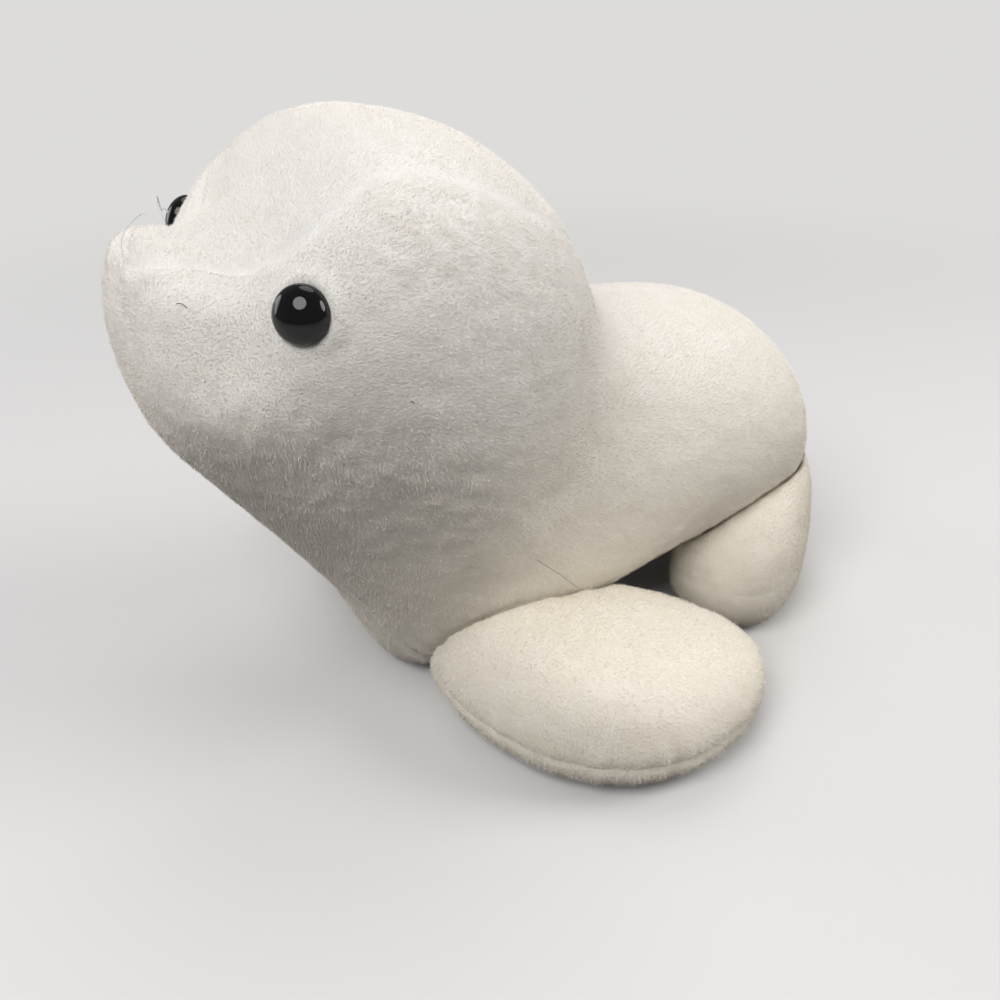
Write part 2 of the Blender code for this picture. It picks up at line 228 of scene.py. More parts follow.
def closed_skin(name, nodes, voxel, plugs=()):
    """One closed skin round copies of the CAD pieces, smoothed and drawn in under the pile."""
    copies = []
    for node in nodes:
        copy = bpy.data.objects.new(name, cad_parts[node].data.copy())
        scene.collection.objects.link(copy)
        copies.append(copy)
    only(*copies, *plugs)
    bpy.ops.object.join()
    made = bpy.context.object
    made.name = name
    made.data.materials.clear()
    bpy.ops.object.mode_set(mode="EDIT")
    bpy.ops.mesh.select_all(action="SELECT")
    bpy.ops.mesh.remove_doubles(threshold=0.00001)
    bpy.ops.object.mode_set(mode="OBJECT")
    remesh = made.modifiers.new("remesh", "REMESH")
    remesh.mode = "VOXEL"
    remesh.voxel_size = voxel
    apply_all(made)
    bpy.ops.object.mode_set(mode="EDIT")
    bpy.ops.mesh.select_all(action="SELECT")
    bpy.ops.mesh.separate(type="LOOSE")
    bpy.ops.object.mode_set(mode="OBJECT")
    shells = sorted(bpy.context.selected_objects, key=lambda o: -len(o.data.vertices))
    made = shells[0]
    for inner in shells[1:]:
        bpy.data.objects.remove(inner)
    made.name = name
    smooth = made.modifiers.new("smooth", "SMOOTH")
    smooth.factor = 0.5
    smooth.iterations = 10
    inset = made.modifiers.new("under the pile", "DISPLACE")
    inset.strength = PILE_PROUD - PILE_DEPTH
    inset.mid_level = 0.0
    apply_all(made)
    return made


def swell(made, far):
    """Cloth pressure swells the skin between its seams, which are held."""
    seam = made.vertex_groups.new(name="held seam")
    for i in np.nonzero(far < HELD_WIDTH)[0]:
        seam.add([int(i)], 1.0, "REPLACE")
    before = points_of(made)
    cloth = made.modifiers.new("pressure", "CLOTH")
    cloth.settings.quality = 5
    cloth.settings.use_pressure = True
    cloth.settings.uniform_pressure_force = SWELL_PRESSURE
    cloth.settings.effector_weights.gravity = 0
    cloth.settings.vertex_group_mass = seam.name
    for step in range(1, SWELL_STEPS + 1):
        scene.frame_set(step)
    after = made.evaluated_get(bpy.context.evaluated_depsgraph_get())
    moved = points_of(after) - before
    way = np.linalg.norm(moved, axis=1, keepdims=True)
    moved *= np.minimum(1, SWELL_LIMIT / np.maximum(way, 1e-9))
    made.modifiers.remove(cloth)
    made.vertex_groups.remove(seam)
    scene.frame_set(1)
    put_points(made, before + moved)


def panel_finder(nodes):
    """Tells which CAD panel lies outside a point of the skin."""
    corners, faces, owner = [], [], []
    for i, node in enumerate(nodes):
        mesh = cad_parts[node].data
        start = len(corners)
        corners += [v.co for v in mesh.vertices]
        faces += [[start + k for k in p.vertices] for p in mesh.polygons]
        owner += [i] * len(mesh.polygons)
    tree = BVHTree.FromPolygons(corners, faces)

    def find(point, outward):
        face = tree.ray_cast(point, outward, 0.02)[2]
        if face is None:
            face = tree.find_nearest(point)[2]
        return owner[face]
    return find


def panels_and_seams(made, nodes):
    """The panel of each face, and for each vertex the nearest seam: distance and its pair."""
    find = panel_finder(nodes)
    owner = np.array([find(p.center, p.normal) for p in made.data.polygons])
    sides = {}
    for p in made.data.polygons:
        for key in p.edge_keys:
            sides.setdefault(key, []).append(owner[p.index])
    seams = [(key, tuple(sorted(pair))) for key, pair in sides.items()
             if len(pair) == 2 and pair[0] != pair[1]]
    tree = KDTree(max(len(seams), 1))
    co = points_of(made)
    middles = np.array([(co[a] + co[b]) / 2 for (a, b), pair in seams])
    for i, middle in enumerate(middles):
        tree.insert(middle, i)
    tree.balance()
    far = np.full(len(co), 1.0)
    pair = np.zeros((len(co), 2), int)
    for i, point in enumerate(co):
        near = tree.find_n(point, 4)
        if near[0][2] < SEAM_REACH:
            line = sum((Vector(middles[k]) for c, k, d in near), Vector()) / len(near)
            far[i] = (line - Vector(point)).length
            pair[i] = seams[near[0][1]][1]
    return owner, far, pair


def line_distance(co, line):
    """How far each point is from a line of points."""
    best = np.full(len(co), 1.0)
    for a, b in zip(line, line[1:]):
        a, b = np.array(a), np.array(b)
        along = np.clip(((co - a) @ (b - a)) / ((b - a) @ (b - a)), 0, 1)
        best = np.minimum(best, np.linalg.norm(co - a - along[:, None] * (b - a), axis=1))
    return best


def eye_place(node):
    """Where a CAD eye sits: the middle of its flat back, and its axis pointing outwards."""
    co = np.array([v.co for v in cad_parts[node].data.vertices])
    co = np.unique(np.round(co, 5), axis=0)
    middle = co.mean(axis=0)
    axis = np.linalg.svd(co - middle)[2][0]
    along = (co - middle) @ axis
    wide = np.linalg.norm(co - middle - along[:, None] * axis, axis=1) > 0.9 * EYE_RADIUS
    if along[wide].mean() < 0:
        axis, along = -axis, -along
    return middle + axis * along[wide].min(), axis


eyes = {word: eye_place(word + "_eye") for word in ("left", "right")}

# Discs that close the eye holes while the skin is made
PLUG_THICK = 0.006
PLUG_BACK = 0.0018                 # how far a disc's middle lies behind the eye's flat back
PLUG_EASE = 0.0004

plugs = []
for seat, axis in eyes.values():
    bpy.ops.object.select_all(action="DESELECT")
    bpy.ops.mesh.primitive_cylinder_add(
        vertices=32, radius=EYE_RADIUS + PLUG_EASE, depth=PLUG_THICK,
        location=Vector(seat - axis * PLUG_BACK),
        rotation=Vector(axis).to_track_quat("Z", "Y").to_euler())
    plugs.append(bpy.context.object)
    bpy.ops.object.transform_apply(location=True, rotation=True, scale=True)


def uneven(co, wide):
    """Smooth unevenness from -1 to 1, with bumps about as wide as given."""
    return np.array([noise.noise(Vector(p) / wide) for p in co])


def filling(skin, name, node):
    """The loose fibre inside a cover: the same form, further in, packed in soft lumps."""
    made = bpy.data.objects.new(name, skin.data.copy())
    scene.collection.objects.link(made)
    co = points_of(made)
    out = normals_of(made)
    inward = FILLING_DEPTH + FILLING_UNEVEN * uneven(co, FILLING_LUMP)
    tree = BVHTree.FromPolygons([Vector(p) for p in co],
                                [p.vertices[:] for p in made.data.polygons])
    for i, (p, n) in enumerate(zip(co, out)):
        across = tree.ray_cast(Vector(p - n * 0.0002), Vector(-n))[3]
        if across is not None:
            inward[i] = min(inward[i], FILLING_SHARE * across)
    put_points(made, co - out * inward[:, None])
    round_off = made.modifiers.new("round off", "SMOOTH")
    round_off.factor = 0.5
    round_off.iterations = 14
    apply_all(made)
    made.data.materials.append(fibre)
    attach(made, "root")
    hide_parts(node)


def split_panels(skin, owner, nodes):
    """Cuts a closed skin into its sewn panels, in the order of the nodes."""
    skin.data.materials.clear()
    for node in nodes:
        skin.data.materials.append(bpy.data.materials.new("panel " + node))
    skin.data.polygons.foreach_set("material_index", owner.astype(np.int32))
    only(skin)
    bpy.ops.object.mode_set(mode="EDIT")
    bpy.ops.mesh.select_all(action="SELECT")
    bpy.ops.mesh.separate(type="MATERIAL")
    bpy.ops.object.mode_set(mode="OBJECT")
    found = {o.data.polygons[0].material_index if len(o.data.materials) > 1
             else nodes.index(o.data.materials[0].name[6:]): o
             for o in bpy.context.selected_objects}
    return [found[i] for i in range(len(nodes))]


def set_attribute(item, name, values):
    """Stores one number or one vector for each vertex."""
    kind, field = ("FLOAT", "value") if values.ndim == 1 else ("FLOAT_VECTOR", "vector")
    made = item.data.attributes.new(name, kind, "POINT")
    made.data.foreach_set(field, values.astype(np.float32).ravel())


def give_pile(skin, source, length, rough, at_eye):
    """Marks how the pile grows: away from a source over the skin, in uneven swirls."""
    co = points_of(skin)
    out = normals_of(skin)
    lie = co - np.array(source)
    lie /= np.linalg.norm(lie, axis=1, keepdims=True)
    swirl = np.array([noise.noise_vector(Vector(p) / SWIRL_SIZE) for p in co])
    fine = np.array([noise.noise_vector(Vector(p) / CLUMP_SIZE) for p in co])
    lie = lie * (1 - 0.5 * rough[:, None]) + swirl * (0.6 + 0.3 * rough[:, None]) \
        + fine * (0.6 + 0.6 * rough[:, None])
    lie -= out * (lie * out).sum(axis=1, keepdims=True)
    bulk = uneven(co, CLUMP_SIZE * 0.8)
    length = length * (1 + 0.35 * rough) * (1 + (0.16 + 0.3 * rough) * bulk)
    pressed = np.clip((PRESSED_BELOW - co[:, 2]) / PRESSED_BELOW, 0, 1)
    length = length * (1 - 0.85 * pressed)
    density = PILE_PER_M2 * (1 - 0.75 * pressed)
    density[at_eye < EYE_CLEAR] = 0
    warm = np.clip((COOL_ABOVE - co[:, 2]) / (COOL_ABOVE - WARM_BELOW), 0, 1)
    set_attribute(skin, "pile_warm", warm)
    set_attribute(skin, "pile_out", out)
    set_attribute(skin, "pile_lie", lie)
    set_attribute(skin, "pile_length", length)
    set_attribute(skin, "pile_density", density)


def strand(name, width):
    """One fibre bundle of the pile, 1 long: a leaning blade that narrows to its tip."""
    bpy.ops.object.select_all(action="DESELECT")
    bpy.ops.mesh.primitive_plane_add(size=1, location=(0, 0, 0))
    made = bpy.context.object
    made.name = name
    mesh = made.data
    bpy.ops.object.mode_set(mode="EDIT")
    bpy.ops.mesh.select_mode(type="EDGE")
    bpy.ops.mesh.select_all(action="DESELECT")
    bpy.ops.object.mode_set(mode="OBJECT")
    for e in mesh.edges:
        e.select = all(mesh.vertices[v].co.y > 0 for v in e.vertices)
    bpy.ops.object.mode_set(mode="EDIT")
    bpy.ops.mesh.merge(type="CENTER")
    bpy.ops.object.mode_set(mode="OBJECT")
    for v in mesh.vertices:
        tip = v.co.y > 0
        v.co = (0, STRAND_LEAN, STRAND_RISE) if tip else (v.co.x * width, 0, 0)
    field = mesh.uv_layers[0]
    field.name = "OFBake"
    for loop in mesh.loops:
        at = mesh.vertices[loop.vertex_index].co
        field.data[loop.index].uv = (0.5 + at.x / width, min(at.z / STRAND_RISE, 1.0))
    made.hide_render = True
    made.hide_viewport = True
    return made


def pile_tree(blade):
    """Scatters blades over a skin, leaning the way the pile lies."""
    tree = bpy.data.node_groups.new("pile", "GeometryNodeTree")
    tree.interface.new_socket("Geometry", in_out="INPUT", socket_type="NodeSocketGeometry")
    tree.interface.new_socket("Seed", in_out="INPUT", socket_type="NodeSocketInt")
    tree.interface.new_socket("Geometry", in_out="OUTPUT", socket_type="NodeSocketGeometry")
    start = add_node(tree, "NodeGroupInput")
    seed = start.outputs["Seed"]
    density = add_node(tree, "GeometryNodeInputNamedAttribute", {"Name": "pile_density"})
    spots = add_node(tree, "GeometryNodeDistributePointsOnFaces",
                     {"Mesh": start.outputs[0], "Density": density.outputs[0], "Seed": seed})
    out = add_node(tree, "GeometryNodeInputNamedAttribute", {"Name": "pile_out"},
                   data_type="FLOAT_VECTOR").outputs[0]
    lie = add_node(tree, "GeometryNodeInputNamedAttribute", {"Name": "pile_lie"},
                   data_type="FLOAT_VECTOR")
    stray = add_node(tree, "FunctionNodeRandomValue", {"Seed": seed}, data_type="FLOAT_VECTOR")
    stray.inputs[0].default_value = (-STRAY, -STRAY, -STRAY)
    stray.inputs[1].default_value = (STRAY, STRAY, STRAY)
    lean = add_node(tree, "ShaderNodeVectorMath", {0: lie.outputs[0], 1: stray.outputs[0]},
                    operation="ADD")
    lean = add_node(tree, "ShaderNodeVectorMath", {0: lean.outputs[0], "Scale": LEAN},
                    operation="SCALE")
    up = add_node(tree, "ShaderNodeVectorMath", {0: out, 1: lean.outputs[0]}, operation="ADD")
    turn = add_node(tree, "FunctionNodeAxesToRotation",
                    {"Primary Axis": up.outputs[0], "Secondary Axis": lean.outputs[0]},
                    primary_axis="Z", secondary_axis="Y")
    roll = add_node(tree, "FunctionNodeRandomValue", {2: -0.7, 3: 0.7, "Seed": seed})
    spin = add_node(tree, "FunctionNodeAxisAngleToRotation",
                    {"Axis": (0, 0, 1), "Angle": roll.outputs[1]})
    turn = add_node(tree, "FunctionNodeRotateRotation",
                    {"Rotation": turn.outputs[0], "Rotate By": spin.outputs[0]},
                    rotation_space="LOCAL")
    length = add_node(tree, "GeometryNodeInputNamedAttribute", {"Name": "pile_length"})
    vary = add_node(tree, "FunctionNodeRandomValue", {2: 0.72, 3: 1.18, "Seed": seed})
    tall = add_node(tree, "ShaderNodeMath", {0: length.outputs[0], 1: vary.outputs[1]},
                    operation="MULTIPLY")
    scale = add_node(tree, "ShaderNodeCombineXYZ", {"X": 0.001, "Y": tall.outputs[0],
                                                    "Z": tall.outputs[0]})
    warm = add_node(tree, "GeometryNodeInputNamedAttribute", {"Name": "pile_warm"})
    warm = add_node(tree, "ShaderNodeMath", {0: warm.outputs[0], 1: 0.5}, operation="MULTIPLY")
    any_tone = add_node(tree, "FunctionNodeRandomValue", {2: 0.0, 3: 0.44, "Seed": seed})
    tone = add_node(tree, "ShaderNodeMath", {0: any_tone.outputs[1], 1: warm.outputs[0]},
                    operation="ADD")
    marked = add_node(tree, "GeometryNodeStoreNamedAttribute",
                      {"Geometry": spots.outputs["Points"], "Name": "tone",
                       "Value": tone.outputs[0]})
    marked = add_node(tree, "GeometryNodeStoreNamedAttribute",
                      {"Geometry": marked.outputs[0], "Name": "out"},
                      data_type="FLOAT_VECTOR")
    glint = add_node(tree, "ShaderNodeVectorMath", {0: stray.outputs[0], "Scale": GLINT},
                     operation="SCALE")
    facing = add_node(tree, "ShaderNodeVectorMath", {0: out, 1: glint.outputs[0]},
                      operation="ADD")
    tree.links.new(facing.outputs[0], marked.inputs["Value"])
    source = add_node(tree, "GeometryNodeObjectInfo", {"Object": blade})
    tufts = add_node(tree, "GeometryNodeInstanceOnPoints",
                     {"Points": marked.outputs[0], "Instance": source.outputs["Geometry"],
                      "Rotation": turn.outputs[0], "Scale": scale.outputs[0]})
    real = add_node(tree, "GeometryNodeRealizeInstances", {"Geometry": tufts.outputs[0]})
    shade = add_node(tree, "GeometryNodeInputNamedAttribute", {"Name": "tone"})
    here = add_node(tree, "GeometryNodeInputNamedAttribute", {"Name": "OFBake"},
                    data_type="FLOAT_VECTOR")
    slim = add_node(tree, "ShaderNodeVectorMath", {0: here.outputs[0], 1: (0.03, 1, 1)},
                    operation="MULTIPLY")
    place = add_node(tree, "ShaderNodeCombineXYZ", {"X": shade.outputs[0]})
    place = add_node(tree, "ShaderNodeVectorMath", {0: slim.outputs[0], 1: place.outputs[0]},
                     operation="ADD")
    mapped = add_node(tree, "GeometryNodeStoreNamedAttribute",
                      {"Geometry": real.outputs[0], "Name": "OFBake"},
                      data_type="FLOAT2", domain="CORNER")
    tree.links.new(place.outputs[0], mapped.inputs["Value"])
    grown = add_node(tree, "GeometryNodeInputNamedAttribute", {"Name": "out"},
                     data_type="FLOAT_VECTOR")
    lit = add_node(tree, "GeometryNodeSetMeshNormal", {"Mesh": mapped.outputs[0]},
                   mode="FREE", domain="POINT")
    tree.links.new(grown.outputs[0], lit.inputs["Custom Normal"])
    add_node(tree, "NodeGroupOutput", {"Geometry": lit.outputs[0]})
    return tree


def finish_panel(panel, node, cloth, seed):
    """One sewn panel as its own piece, with its pile grown as a second piece on it."""
    panel.name = node + "_cloth"
    panel.data.materials.clear()
    panel.data.materials.append(cloth)
    for p in panel.data.polygons:
        p.use_smooth = True
        p.material_index = 0
    pile = bpy.data.objects.new(node + "_pile", panel.data.copy())
    scene.collection.objects.link(pile)
    grow = pile.modifiers.new("pile", "NODES")
    grow.node_group = PILE_TREE
    grow["Socket_1"] = seed
    apply_all(pile)
    for piece in (panel, pile):
        for name in ("tone", "out", "pile_out", "pile_lie", "pile_length", "pile_density",
                     "pile_warm"):
            if name in piece.data.attributes:
                piece.data.attributes.remove(piece.data.attributes[name])
    pile.data.materials.clear()
    pile.data.materials.append(pile_fibre)
    for piece in (panel, pile):
        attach(piece, "root")
    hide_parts(node)


def new_material(name, **sockets):
    """A material with one principled shader and its constant settings."""
    made = bpy.data.materials.new(name)
    made.use_nodes = True
    shader = made.node_tree.nodes["Principled BSDF"]
    for socket, value in sockets.items():
        shader.inputs[socket.replace("_", " ")].default_value = value
    return made, made.node_tree, shader


def object_noise(tree, size, detail=3.0):
    """Noise with patches of a real size in metres, on Object coordinates."""
    where = add_node(tree, "ShaderNodeTexCoord")
    return add_node(tree, "ShaderNodeTexNoise",
                    {"Vector": where.outputs["Object"], "Scale": 1 / size, "Detail": detail})


PILE_LENGTH = 0.0014
PILE_PER_M2 = 2.95e6
STRAND_WIDTH = 0.22                # in mm: a bundle of fibres, as one alone is too fine to show
STRAND_RISE = 0.85
STRAND_LEAN = 0.35
LEAN = 0.8                         # how far the strands lie over the way the pile lies
STRAY = 0.6                        # and how far each one strays from it
GLINT = 0.3                        # a little of that also turns its shading
PILE_FROM = Vector((0, -0.165, 0.15))      # the pile lies away from here, before the muzzle
PRESSED_BELOW = 0.004              # the toy's weight flattens the pile it rests on
SWIRL_SEED = 1                     # without a seed, the swirls fall differently in each run
SWIRL_SIZE = 0.028
CLUMP_SIZE = 0.0045
MOTTLE_DEPTH = 0.0004
MOTTLE_SIZE = 0.0052
LUMP_DEPTH = 0.0007
LUMP_SIZE = 0.03
COOL_ABOVE = 0.18                  # the cloth is tinted warmer low down and cooler high up
WARM_BELOW = 0.07
EYE_CLEAR = 0.0090
EYE_PRESS = 0.0014                 # the eye presses the pile down under it, out to PRESS_OUT
PRESS_OUT = 0.0098
PRESS_FADE = 0.0015
EYE_COLLAR = 0.0013                # and the pile stands up in a soft collar behind it
COLLAR_AT = 0.0112
COLLAR_WIDTH = 0.0024
SEAM_BARE = 0.0035                 # the pile is shorter this close to a seam
NECK_DEPTH = 0.0018
NECK_WIDTH = 0.009
# Where the pile is ruffled on both sides of the head: a middle, a reach and an amount
ROUGH_PATCHES = [((0.069, -0.081, 0.215), 0.018, 0.8), ((0.072, -0.07, 0.213), 0.018, 1.0),
                 ((0.073, -0.056, 0.208), 0.018, 0.9), ((0.072, -0.042, 0.2), 0.018, 0.8),
                 ((0.074, -0.033, 0.186), 0.018, 0.8), ((0.075, -0.027, 0.172), 0.018, 0.6),
                 ((0.056, -0.136, 0.156), 0.02, 0.6), ((0.061, -0.126, 0.149), 0.02, 0.9),
                 ((0.064, -0.115, 0.141), 0.02, 1.0), ((0.068, -0.103, 0.136), 0.022, 0.9),
                 ((0.053, -0.116, 0.121), 0.02, 0.8), ((0.049, -0.143, 0.162), 0.018, 0.6),
                 ((0.069, -0.079, 0.11), 0.03, 0.6), ((0.077, -0.06, 0.125), 0.03, 0.5),
                 ((0.013, -0.155, 0.186), 0.014, 0.8), ((-0.005, -0.153, 0.19), 0.014, 0.9)]
# The cloth stands up in a small fold in front of the right eye
EYE_FRONT_FOLD = [(-0.02, -0.139, 0.199), (-0.034, -0.135, 0.1975), (-0.046, -0.1305, 0.196)]
FOLD_HEIGHT = 0.0016
FOLD_WIDTH = 0.007

# White polyester fibre filling: dull, almost white
fibre, tree, shader = new_material("loose white polyester fibre", Roughness=0.95)
patches = object_noise(tree, 0.006)
tint = add_node(tree, "ShaderNodeValToRGB", {"Fac": patches.outputs["Fac"]})
tint.color_ramp.elements[0].color = linear("#D9D9D5")
tint.color_ramp.elements[1].color = linear("#F2F2EF")
tree.links.new(tint.outputs[0], shader.inputs["Base Color"])

# Short brushed polyester plush: the dense body of the pile, matt cream, with a soft sheen
# where it turns away and a fine grain; a little of the knitted backing darkens it in places.
# The grain is drawn 0.8 mm wide, coarser than the fibres, so that it shows
pile_cloth, tree, shader = new_material("cream short-pile plush", Roughness=0.95,
                                        Sheen_Weight=0.25, Sheen_Roughness=0.5)
patches = object_noise(tree, 0.009)
cool = add_node(tree, "ShaderNodeValToRGB", {"Fac": patches.outputs["Fac"]})
cool.color_ramp.elements[0].position = 0.3
cool.color_ramp.elements[0].color = linear("#F5F2EB")
cool.color_ramp.elements[1].position = 0.7
cool.color_ramp.elements[1].color = linear("#FBF9F5")
warm = add_node(tree, "ShaderNodeValToRGB", {"Fac": patches.outputs["Fac"]})
warm.color_ramp.elements[0].position = 0.3
warm.color_ramp.elements[0].color = linear("#F6F0E2")
warm.color_ramp.elements[1].position = 0.7
warm.color_ramp.elements[1].color = linear("#FBF6EB")
where = add_node(tree, "ShaderNodeTexCoord")
parts = add_node(tree, "ShaderNodeSeparateXYZ", {0: where.outputs["Object"]})
# the tint goes warmer towards the bottom and cooler towards the top
warmer_low_down = add_node(tree, "ShaderNodeMapRange",
                    {0: parts.outputs["Z"], 1: WARM_BELOW, 2: COOL_ABOVE, 3: 1.0, 4: 0.0})
tint = add_node(tree, "ShaderNodeMix", {"Factor": warmer_low_down.outputs[0]}, data_type="RGBA")
tree.links.new(cool.outputs[0], tint.inputs[6])
tree.links.new(warm.outputs[0], tint.inputs[7])
tree.links.new(tint.outputs[2], shader.inputs["Base Color"])
grain = object_noise(tree, 0.0008, 3)
bump = add_node(tree, "ShaderNodeBump", {"Height": grain.outputs["Fac"], "Strength": 0.5,
                                         "Distance": 0.0005})
tree.links.new(bump.outputs[0], shader.inputs["Normal"])

# The loose tips of the same polyester: cream, each bundle a little lighter or darker, and
# warmer low down
pile_fibre, tree, shader = new_material("brushed cream polyester tips", Roughness=0.9,
                                        Sheen_Weight=0.25, Sheen_Roughness=0.5)
where = add_node(tree, "ShaderNodeUVMap", uv_map="OFBake")
parts = add_node(tree, "ShaderNodeSeparateXYZ", {0: where.outputs[0]})
tone = add_node(tree, "ShaderNodeValToRGB", {"Fac": parts.outputs["X"]})
tone.color_ramp.elements[0].color = linear("#FCFAF7")
tone.color_ramp.elements[1].color = linear("#F8F1E3")
# painted shade: each blade is a little darker at its root, where the pile shades itself
root = add_node(tree, "ShaderNodeValToRGB", {"Fac": parts.outputs["Y"]})
root.color_ramp.elements[0].color = linear("#F6F3EE")
root.color_ramp.elements[1].position = 0.6
root.color_ramp.elements[1].color = linear("#FFFFFF")
both = add_node(tree, "ShaderNodeMix", {"Factor": 1.0}, data_type="RGBA",
                blend_type="MULTIPLY")
tree.links.new(tone.outputs[0], both.inputs[6])
tree.links.new(root.outputs[0], both.inputs[7])
tree.links.new(both.outputs[2], shader.inputs["Base Color"])

noise.seed_set(SWIRL_SEED)
PILE_TREE = pile_tree(strand("pile_blade", STRAND_WIDTH))

body = closed_skin("body_cover", BODY_PANELS + ["body_stuffing"], BODY_VOXEL, plugs)
owner, far, pair = panels_and_seams(body, BODY_PANELS)
filling(body, "body_filling", "body_stuffing")
swell(body, far)
finer = body.modifiers.new("finer", "SUBSURF")
finer.levels = 1
finer.render_levels = 1
apply_all(body)
owner, far, pair = panels_and_seams(body, BODY_PANELS)
co = points_of(body)
sink = np.zeros(len(co))

# the seams draw the cloth in, and it swells a little beside them
for (a, b), draw in SEAM_DRAW.items():
    this = (pair == sorted((BODY_PANELS.index(a), BODY_PANELS.index(b)))).all(axis=1)
    if a == "crown_panel":
        draw = draw * (0.1 + 0.9 * np.clip((FACE_BACK - co[this, 1]) / FACE_FADE, 0, 1))
    sink[this] += draw * np.exp(-(far[this] / SEAM_WIDTH) ** 2)
    beside = np.exp(-((far[this] - SHOULDER_AT) / SHOULDER_WIDTH) ** 2)
    sink[this] -= SHOULDER_SHARE * draw * beside

# a soft crease behind each cheek, and the cloth round the eyes
for mirrored in (1, -1):
    line = [(x * mirrored, y, z) for x, y, z in NECK_CREASE]
    sink += NECK_DEPTH * np.exp(-(line_distance(co, line) / NECK_WIDTH) ** 2)
at_eye = np.min([np.linalg.norm(co - seat, axis=1) for seat, axis in eyes.values()], axis=0)
sink += EYE_PRESS * np.clip((PRESS_OUT - at_eye) / PRESS_FADE, 0, 1)
behind = np.max([np.clip((co[:, 1] - seat[1]) / np.maximum(at_eye, 1e-5), 0, 1)
                 for seat, axis in eyes.values()], axis=0)
collar = np.exp(-((at_eye - COLLAR_AT) / COLLAR_WIDTH) ** 2)
sink -= EYE_COLLAR * (0.3 + behind) * collar

# lumps of the filling, and the fold in front of the right eye
sink += LUMP_DEPTH * uneven(co, LUMP_SIZE) + 0.4 * LUMP_DEPTH * uneven(co, LUMP_SIZE / 3)
sink -= FOLD_HEIGHT * np.exp(-(line_distance(co, EYE_FRONT_FOLD) / FOLD_WIDTH) ** 2)

# the mottled face of the pile, rougher where it is ruffled
rough = np.zeros(len(co))
for place, reach, amount in ROUGH_PATCHES:
    for mirrored in (1, -1):
        away = np.linalg.norm(co - np.array(place) * (mirrored, 1, 1), axis=1)
        rough = np.maximum(rough, amount * np.exp(-(away / reach) ** 2))
sink += MOTTLE_DEPTH * (0.6 + 0.9 * rough) * uneven(co, MOTTLE_SIZE)
put_points(body, co - normals_of(body) * sink[:, None])
near_seam = np.exp(-(far / SEAM_BARE) ** 2)
near_seam[(pair == (2, 3)).all(axis=1)] *= 0.3     # the seam along the back is well covered
length = PILE_LENGTH * (1 - 0.6 * near_seam)
give_pile(body, PILE_FROM, length, rough, at_eye)
body_surface = BVHTree.FromPolygons([Vector(p) for p in points_of(body)],
                                    [p.vertices[:] for p in body.data.polygons])
for i, panel in enumerate(split_panels(body, owner, BODY_PANELS)):
    finish_panel(panel, BODY_PANELS[i], pile_cloth, seed=i + 1)


# Safety eyes: domed black acrylic, moulded in one with a ribbed post that goes through the
# cloth and is locked behind it by a washer of natural nylon.

EYE_DOME = 0.0062
EYE_RIM = 0.0008
POST_RADIUS = 0.0024
# The post from the eye's back to its end: each step's length, and how much wider it ends
POST_STEPS = [(0.006, 1.0), (0.0004, 1.15), (0.0008, 1 / 1.15), (0.0018, 1.0),
              (0.0004, 1.15), (0.0008, 1 / 1.15), (0.0028, 0.8)]

# Polished black acrylic: deep black with sharp reflections
eye_acrylic, tree, shader = new_material("polished black acrylic", Roughness=0.07, IOR=1.42)
wear = object_noise(tree, 0.004)
tint = add_node(tree, "ShaderNodeValToRGB", {"Fac": wear.outputs["Fac"]})
tint.color_ramp.elements[0].color = linear("#050505")
tint.color_ramp.elements[1].color = linear("#0B0B0C")
tree.links.new(tint.outputs[0], shader.inputs["Base Color"])

# Moulded natural nylon: milky white, satin
washer_nylon, tree, shader = new_material("moulded natural nylon", Roughness=0.42, IOR=1.53)
milk = object_noise(tree, 0.003)
tint = add_node(tree, "ShaderNodeValToRGB", {"Fac": milk.outputs["Fac"]})
tint.color_ramp.elements[0].color = linear("#DDDBD3")
tint.color_ramp.elements[1].color = linear("#E9E7E1")
tree.links.new(tint.outputs[0], shader.inputs["Base Color"])

for word, (seat, axis) in eyes.items():
    bpy.ops.object.select_all(action="DESELECT")
    bpy.ops.mesh.primitive_uv_sphere_add(segments=64, ring_count=40, radius=EYE_RADIUS,
                                         location=(0, 0, 0))
    eye = bpy.context.object
    eye.name = word + "_safety_eye"
    bpy.ops.object.mode_set(mode="EDIT")
    bpy.ops.mesh.select_all(action="SELECT")
    bpy.ops.mesh.bisect(plane_co=(0, 0, 0), plane_no=(0, 0, 1), use_fill=True,
                        clear_inner=True)
    bpy.ops.mesh.extrude_region_move(TRANSFORM_OT_translate={"value": (0, 0, -EYE_RIM)})
    bpy.ops.mesh.inset(thickness=EYE_RADIUS - POST_RADIUS)
    for down, grow in POST_STEPS:
        bpy.ops.mesh.extrude_region_move(TRANSFORM_OT_translate={"value": (0, 0, -down)})
        bpy.ops.transform.resize(value=(grow, grow, 1))
    bpy.ops.object.mode_set(mode="OBJECT")
    co = points_of(eye)
    co[:, 2] *= np.where(co[:, 2] > 0, EYE_DOME / EYE_RADIUS, 1)
    co[:, 2] += EYE_RIM
    put_points(eye, co)
    turn = Vector(axis).to_track_quat("Z", "Y").to_matrix().to_4x4()
    eye.data.transform(Matrix.Translation(Vector(seat)) @ turn)
    bpy.ops.object.shade_smooth_by_angle(angle=0.6)
    eye.data.materials.append(eye_acrylic)
    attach(eye, "root")
    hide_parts(word + "_eye")
    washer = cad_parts[word + "_eye_washer"]
    washer.data.materials.clear()
    washer.data.materials.append(washer_nylon)


# Flippers: an upper and a lower panel each, sewn round the edge, filled, and sewn flat against
# the body. The edge seam pulls the cloth into small puckers where the outline turns.

